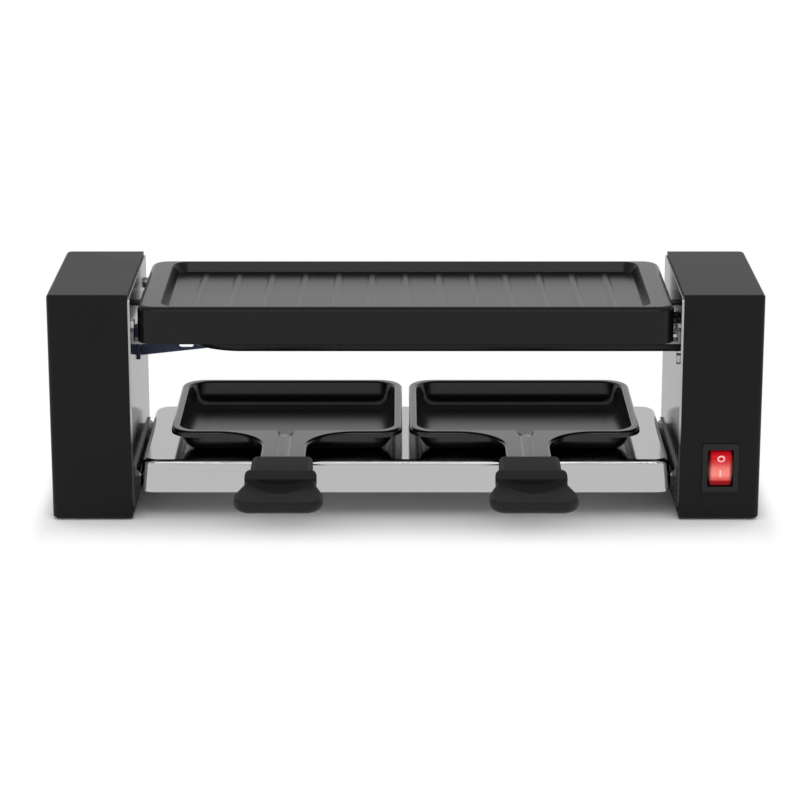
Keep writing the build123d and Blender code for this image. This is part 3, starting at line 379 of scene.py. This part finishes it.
def darken(tree, share, tone):
    # where share is 1 the base colour becomes this grey
    base = tree.nodes["Principled BSDF"].inputs["Base Color"]
    inputs = {"Fac": share, "Color1": base.links[0].from_socket, "Color2": (tone, tone, tone, 1.0)}
    tree.links.new(add_node(tree, "MixRGB", inputs).outputs["Color"], base)


side_steel = finish(
    "side_steel",
    dark=(0.37, 0.37, 0.36),
    light=(0.43, 0.43, 0.415),
    rough=(0.08, 0.13),
    metal=1.0,
    edge=0.50,
    effect=lines,
    Stretch=(700.0, 700.0, 6.0),
    Strength=0.02,
)
# low on the plate's front edge the steel is painted darker, a painted reflection of the dark
# surroundings that the real one mirrors
side_tree = side_steel.node_tree
side_facing = add_node(
    side_tree,
    "SeparateXYZ",
    {"Vector": add_node(side_tree, "NewGeometry").outputs["Normal"]},
)
side_depth = change(side_tree, place_axes(side_tree)["Z"], painted_reflection_low, painted_reflection_high, 1.0, 0.0)
side_front = change(side_tree, side_facing.outputs["Y"], painted_reflection_front, painted_reflection_side, 1.0, 0.0)
darken(side_tree, reckon(side_tree, "MULTIPLY", side_depth, side_front), painted_reflection_dark)
dress(side_steel, cad["left_side_plate"], cad["right_side_plate"])


# Side plate screws: zinc-plated pan-head screws with a cross recess. Three hold each side
# plate to the bosses inside its housing.
head_radius = 0.0028
head_height = 0.0019
head_edge = 0.0005
head_facets = 40
edge_steps = 3
shank_radius = 0.00125
recess_depth = 0.0011
recess_reach = 0.0033
recess_width = 0.0008
recess_tip_share = 0.55
first_spin, spin_step = 25.0, 40.0
screw_smooth_angle = 35.0
square_on = 0.9
screw_zinc = finish(
    "screw_zinc",
    dark=(0.42, 0.42, 0.41),
    light=(0.55, 0.55, 0.53),
    rough=(0.34, 0.46),
    metal=1.0,
    Scale=700.0,
    Strength=0.1,
)


def take(piece):
    bpy.ops.object.select_all(action="DESELECT")
    piece.select_set(True)
    bpy.context.view_layer.objects.active = piece


def seat(piece):
    take(piece)
    bpy.ops.object.transform_apply(location=True, rotation=True, scale=True)


def start_edit(piece):
    take(piece)
    bpy.ops.object.mode_set(mode="EDIT")
    bpy.ops.mesh.select_mode(type="FACE")


def pick_faces(piece, wanted):
    bpy.ops.mesh.select_all(action="DESELECT")
    bpy.ops.object.mode_set(mode="OBJECT")
    for face in piece.data.polygons:
        face.select = wanted(face)
    bpy.ops.object.mode_set(mode="EDIT")


def cross_screw(shank_length):
    # the head stands on the XY plane with its face up, and the shank goes down
    bpy.ops.object.select_all(action="DESELECT")
    bpy.ops.mesh.primitive_cylinder_add(
        vertices=head_facets,
        radius=head_radius,
        depth=head_height,
        location=(0.0, 0.0, head_height / 2),
    )
    screw = bpy.context.object
    seat(screw)
    start_edit(screw)
    pick_faces(screw, lambda face: face.normal.z > square_on)
    bpy.ops.mesh.bevel(offset=head_edge, segments=edge_steps, affect="EDGES")
    pick_faces(screw, lambda face: face.normal.z < -square_on)
    bpy.ops.mesh.inset(thickness=head_radius - shank_radius)
    bpy.ops.mesh.extrude_region_move(TRANSFORM_OT_translate={"value": (0.0, 0.0, -shank_length)})
    bpy.ops.object.mode_set(mode="OBJECT")
    for long_x, long_y in ((recess_reach, recess_width), (recess_width, recess_reach)):
        bpy.ops.object.select_all(action="DESELECT")
        bpy.ops.mesh.primitive_cube_add(size=1.0, location=(0.0, 0.0, head_height))
        blade = bpy.context.object
        blade.scale = (long_x, long_y, recess_depth * 2)
        seat(blade)
        start_edit(blade)
        pick_faces(blade, lambda face: face.normal.z < -square_on)
        bpy.ops.transform.resize(value=(recess_tip_share, recess_tip_share, 1.0))
        bpy.ops.object.mode_set(mode="OBJECT")
        cut = screw.modifiers.new("recess", "BOOLEAN")
        cut.operation = "DIFFERENCE"
        cut.solver = "EXACT"
        cut.object = blade
        take(screw)
        bpy.ops.object.modifier_apply(modifier=cut.name)
        bpy.data.objects.remove(blade, do_unlink=True)
    return screw


def plate_screws(node, facing):
    # facing is 1 where the heads look towards +X, and -1 where they look towards -X
    low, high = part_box(node)
    inner_x, outer_x = (high[0], low[0]) if facing > 0 else (low[0], high[0])
    seat_x = inner_x - facing * head_height
    front_y, back_y = low[1] + head_radius, high[1] - head_radius
    low_z, high_z = low[2] + head_radius, high[2] - head_radius
    pattern = cross_screw(abs(outer_x - seat_x))
    pieces = []
    for turn, (y, z) in enumerate(((front_y, high_z), (back_y, high_z), (back_y, low_z))):
        spin = first_spin + spin_step * turn
        piece = pattern.copy()
        piece.data = pattern.data.copy()
        scene.collection.objects.link(piece)
        piece.rotation_mode = "ZYX"
        piece.rotation_euler = (0.0, facing * math.radians(90.0), math.radians(spin))
        piece.location = (seat_x, y, z)
        seat(piece)
        pieces.append(piece)
    bpy.data.objects.remove(pattern, do_unlink=True)
    take(pieces[0])
    for piece in pieces:
        piece.select_set(True)
    bpy.ops.object.join()
    screws = bpy.context.object
    screws.name = node + "_cross"
    bpy.ops.object.shade_smooth_by_angle(angle=math.radians(screw_smooth_angle))
    dress(screw_zinc, screws)
    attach(screws, "base")
    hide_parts(node)


plate_screws("left_plate_screws", 1.0)
plate_screws("right_plate_screws", -1.0)


# Drip tray: a bright stainless pressing between the side plates, riveted to them through an
# upright flange at each end.
gutter_width, gutter_blend = 0.0024, 0.0010
# the grey of the painted reflection in the gutter at each end
gutter_painted_reflection = 0.075
tray_steel = finish(
    "tray_steel",
    dark=(0.475, 0.475, 0.480),
    light=(0.490, 0.490, 0.495),
    rough=(0.09, 0.10),
    metal=1.0,
    edge=0.80,
    effect=lines,
    Stretch=(4.0, 900.0, 900.0),
    Strength=0.004,
)
# in the gutter at each end the steel is painted darker, a painted reflection of the dark
# surroundings that the real one mirrors
gutter_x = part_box("drip_tray")[1][0] - gutter_width
tray_tree = tray_steel.node_tree
tray_side = reckon(tray_tree, "ABSOLUTE", place_axes(tray_tree)["X"])
gutter_reflection_share = change(tray_tree, tray_side, gutter_x - gutter_blend, gutter_x, 0.0, 1.0)
darken(tray_tree, gutter_reflection_share, gutter_painted_reflection)
dress(tray_steel, cad["drip_tray"])
dress(screw_zinc, cad["tray_rivets"], cad["bracket_rivets"], cad["flange_screws"])


# Grill plate and rests: a cast aluminium plate with a shallow ribbed recess and a deep skirt,
# under a dark semi-gloss non-stick coating. It lies loose on four plain steel rests.
plate_coating = finish(
    "plate_coating",
    dark=(0.0045, 0.0045, 0.0047),
    light=(0.0070, 0.0070, 0.0073),
    rough=(0.24, 0.30),
    specular=0.22,
    Scale=1100.0,
    Strength=0.03,
)
dress(plate_coating, cad["grill_plate"])
rest_steel = finish(
    "rest_steel",
    dark=(0.16, 0.16, 0.17),
    light=(0.24, 0.24, 0.25),
    rough=(0.30, 0.42),
    metal=1.0,
    effect=lines,
    Stretch=(600.0, 10.0, 600.0),
    Strength=0.05,
)
dress(rest_steel, cad["left_plate_rests"], cad["right_plate_rests"])


# Heater: one bent heating tube with a dark oxide skin, its cream seals, and the heat-blued
# bracket and flange that carry it.
tube_dark = finish(
    "tube_dark",
    dark=(0.008, 0.008, 0.009),
    light=(0.020, 0.020, 0.022),
    rough=(0.38, 0.52),
    metal=0.3,
    specular=0.3,
    Scale=500.0,
    Strength=0.2,
)
dress(tube_dark, cad["heating_element"])
blued_steel = finish(
    "blued_steel",
    dark=(0.022, 0.028, 0.046),
    light=(0.042, 0.051, 0.076),
    rough=(0.26, 0.38),
    metal=1.0,
    Scale=300.0,
    Strength=0.1,
)
dress(blued_steel, cad["heater_bracket"], cad["heater_flange"])
seal_cream = finish(
    "seal_cream",
    dark=(0.70, 0.68, 0.60),
    light=(0.80, 0.78, 0.70),
    rough=(0.20, 0.30),
    Scale=500.0,
    Strength=0.1,
)
dress(seal_cream, cad["heater_pins"])


# Raclette pans: two pressed steel pans with a rolled rim and a grooved neck, under a smooth
# black non-stick coating with more gloss than the plate's.
rim_rough, basin_rough = 0.14, 0.24
basin_shade = 0.006
pan_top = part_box("left_pan")[1][2]
pan_coating = finish(
    "pan_coating",
    dark=(0.0030, 0.0030, 0.0040),
    light=(0.0050, 0.0050, 0.0065),
    rough=(rim_rough, rim_rough),
    specular=0.45,
    Scale=1200.0,
    Strength=0.01,
)
# the coating lies glossy on the rim and the neck, and more satin down in the basin
pan_tree = pan_coating.node_tree
pan_gloss = change(
    pan_tree, place_axes(pan_tree)["Z"], pan_top - basin_shade, pan_top, basin_rough, rim_rough
)
pan_tree.links.new(pan_gloss, pan_tree.nodes["Principled BSDF"].inputs["Roughness"])
dress(pan_coating, cad["left_pan"], cad["right_pan"])


# Pan handles: moulded in fine matt black plastic, pushed over the necks and screwed to them
# from below.
handle_black = finish(
    "handle_black",
    dark=(0.0070, 0.0074, 0.0078),
    light=(0.0120, 0.0126, 0.0132),
    rough=(0.50, 0.60),
    specular=0.20,
    Scale=1500.0,
    Strength=0.18,
)
dress(handle_black, cad["left_pan_handle"], cad["right_pan_handle"])
dress(screw_zinc, cad["left_handle_screw"], cad["right_handle_screw"])


# Mains switch: a black frame clipped into the right housing, and a translucent red rocker
# with light and shade painted into its red: a painted glow as of a small lamp behind its middle,
# painted sheen and painted shadow.
frame_black = finish(
    "frame_black",
    dark=(0.0070, 0.0072, 0.0076),
    light=(0.0100, 0.0102, 0.0106),
    rough=(0.30, 0.38),
    specular=0.25,
    Scale=900.0,
    Strength=0.05,
)
dress(frame_black, cad["switch_frame"])
dress(screw_zinc, cad["switch_tabs"])
# the rocker's red with painted light and shade, from its lower end, at 0, to its upper end, at 1:
# painted shadow where the lower end sinks into the frame, a painted glow and sheen over the lower
# half, and painted shade on the upper half that tilts away from the light
rocker_painted_light = (
    (0.00, (0.16, 0.001, 0.003)),
    (0.14, (0.26, 0.001, 0.005)),
    (0.18, (0.60, 0.075, 0.070)),
    (0.32, (0.80, 0.220, 0.185)),
    (0.50, (0.78, 0.185, 0.160)),
    (0.66, (0.62, 0.050, 0.050)),
    (0.80, (0.55, 0.006, 0.014)),
    (0.92, (0.48, 0.004, 0.012)),
    (1.00, (0.30, 0.002, 0.006)),
)
# painted shade darkens the two long edges, from and to these shares of the rocker's width
edge_shade_start, edge_shade_full = 0.33, 0.47
edge_shade_tone = 0.12
rocker_painted_glow = 0.25
rocker_low, rocker_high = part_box("switch_rocker")
rocker_middle = (Vector(rocker_low) + Vector(rocker_high)) / 2
rocker_width = rocker_high[0] - rocker_low[0]
rocker_red = finish(
    "rocker_red",
    dark=(0.50, 0.008, 0.012),
    light=(0.60, 0.012, 0.016),
    rough=(0.24, 0.30),
    specular=0.12,
    Scale=600.0,
    Strength=0.03,
)
rocker_tree = rocker_red.node_tree
rocker_axes = place_axes(rocker_tree)
rocker_rise = change(rocker_tree, rocker_axes["Z"], rocker_low[2], rocker_high[2], 0.0, 1.0)
rocker_light_tone = add_node(rocker_tree, "ValToRGB", {"Fac": rocker_rise})
while len(rocker_light_tone.color_ramp.elements) < len(rocker_painted_light):
    rocker_light_tone.color_ramp.elements.new(1.0)
for stop, (share, colour) in zip(rocker_light_tone.color_ramp.elements, rocker_painted_light):
    stop.position = share
    stop.color = (*colour, 1.0)
rocker_across = reckon(rocker_tree, "SUBTRACT", rocker_axes["X"], rocker_middle.x)
rocker_aside = reckon(rocker_tree, "ABSOLUTE", rocker_across)
rocker_edge_shade = change(
    rocker_tree,
    rocker_aside,
    rocker_width * edge_shade_start,
    rocker_width * edge_shade_full,
    1.0,
    edge_shade_tone,
    interpolation_type="SMOOTHSTEP",
)
rocker_painted_colour = add_node(
    rocker_tree,
    "VectorMath",
    {0: rocker_light_tone.outputs["Color"], "Scale": rocker_edge_shade},
    operation="SCALE",
)
rocker_shader = rocker_tree.nodes["Principled BSDF"]
# the painted light and shade go into the colour and into a painted glow
for colour_socket in ("Base Color", "Emission Color"):
    rocker_tree.links.new(rocker_painted_colour.outputs["Vector"], rocker_shader.inputs[colour_socket])
rocker_shader.inputs["Emission Strength"].default_value = rocker_painted_glow
dress(rocker_red, cad["switch_rocker"])


# Marks on the rocker: a ring on the upper half and a short bar on the lower half, moulded a
# little proud of the red plastic and filled with white.
mark_thickness = 0.0003
mark_corner = 0.0003
mark_painted_glow = 0.25
mark_painted_glow_colour = (1.0, 0.55, 0.52, 1.0)
mark_smooth_angle = 40.0
corner_steps = 4
ring_facets = 56
ring_radius = 0.00195
ring_stroke = 0.00072
ring_rise = 0.0058
bar_width = 0.0008
bar_height = 0.0036
bar_drop = 0.0026
ray_start_gap = 0.02
to_the_back = Vector((0.0, 1.0, 0.0))
mark_white = finish(
    "mark_white",
    dark=(0.78, 0.46, 0.44),
    light=(0.86, 0.56, 0.54),
    rough=(0.40, 0.50),
    Scale=900.0,
    Strength=0.05,
)
mark_shader = mark_white.node_tree.nodes["Principled BSDF"]
# the marks carry the same painted glow as the rocker
mark_shader.inputs["Emission Color"].default_value = mark_painted_glow_colour
mark_shader.inputs["Emission Strength"].default_value = mark_painted_glow


def lay_on_rocker(mark, name, rise):
    # the mark lies on the rocker's face at this height, and looks the way the face looks
    start = Vector((rocker_middle.x, rocker_low[1] - ray_start_gap, rocker_middle.z + rise))
    _, point, normal, _ = cad["switch_rocker"].ray_cast(start, to_the_back)
    mark.name = name
    mark.rotation_mode = "QUATERNION"
    mark.rotation_quaternion = normal.to_track_quat("Z", "Y")
    mark.location = point
    seat(mark)
    bpy.ops.object.shade_smooth_by_angle(angle=math.radians(mark_smooth_angle))
    dress(mark_white, mark)
    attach(mark, "rocker")


bpy.ops.object.select_all(action="DESELECT")
bpy.ops.mesh.primitive_cylinder_add(
    vertices=ring_facets, radius=ring_radius, depth=mark_thickness
)
ring = bpy.context.object
start_edit(ring)
pick_faces(ring, lambda face: abs(face.normal.z) > square_on)
bpy.ops.mesh.inset(thickness=ring_stroke)
bpy.ops.mesh.bridge_edge_loops()
bpy.ops.mesh.select_all(action="SELECT")
bpy.ops.mesh.normals_make_consistent(inside=False)
bpy.ops.object.mode_set(mode="OBJECT")
lay_on_rocker(ring, "rocker_ring", ring_rise)

bpy.ops.object.select_all(action="DESELECT")
bpy.ops.mesh.primitive_cube_add(size=1.0)
bar = bpy.context.object
bar.scale = (bar_width, bar_height, mark_thickness)
seat(bar)
start_edit(bar)
bpy.ops.mesh.select_mode(type="EDGE")
bpy.ops.mesh.select_all(action="DESELECT")
bpy.ops.object.mode_set(mode="OBJECT")
for edge in bar.data.edges:
    first_end, other_end = (bar.data.vertices[index].co for index in edge.vertices)
    edge.select = abs(first_end.z - other_end.z) > mark_thickness / 2
bpy.ops.object.mode_set(mode="EDIT")
bpy.ops.mesh.bevel(offset=mark_corner, segments=corner_steps, affect="EDGES")
bpy.ops.object.mode_set(mode="OBJECT")
lay_on_rocker(bar, "rocker_bar", -bar_drop)


# Wiring inside the right housing: a white terminal block with brass screws, two brown wires
# and a blue one, in plain plastic insulation.
block_white = finish(
    "block_white",
    dark=(0.70, 0.70, 0.68),
    light=(0.80, 0.80, 0.78),
    rough=(0.30, 0.40),
    Scale=600.0,
    Strength=0.05,
)
dress(block_white, cad["terminal_block"])
screw_brass = finish(
    "screw_brass",
    dark=(0.60, 0.45, 0.18),
    light=(0.72, 0.56, 0.26),
    rough=(0.25, 0.35),
    metal=1.0,
    Scale=600.0,
    Strength=0.05,
)
dress(screw_brass, cad["block_screws"])
wire_brown = finish(
    "wire_brown",
    dark=(0.10, 0.04, 0.015),
    light=(0.16, 0.07, 0.03),
    rough=(0.35, 0.45),
    Scale=500.0,
    Strength=0.05,
)
dress(wire_brown, cad["switched_wire"], cad["live_wire"])
wire_blue = finish(
    "wire_blue",
    dark=(0.015, 0.04, 0.30),
    light=(0.03, 0.07, 0.42),
    rough=(0.35, 0.45),
    Scale=500.0,
    Strength=0.05,
)
dress(wire_blue, cad["neutral_wire"])
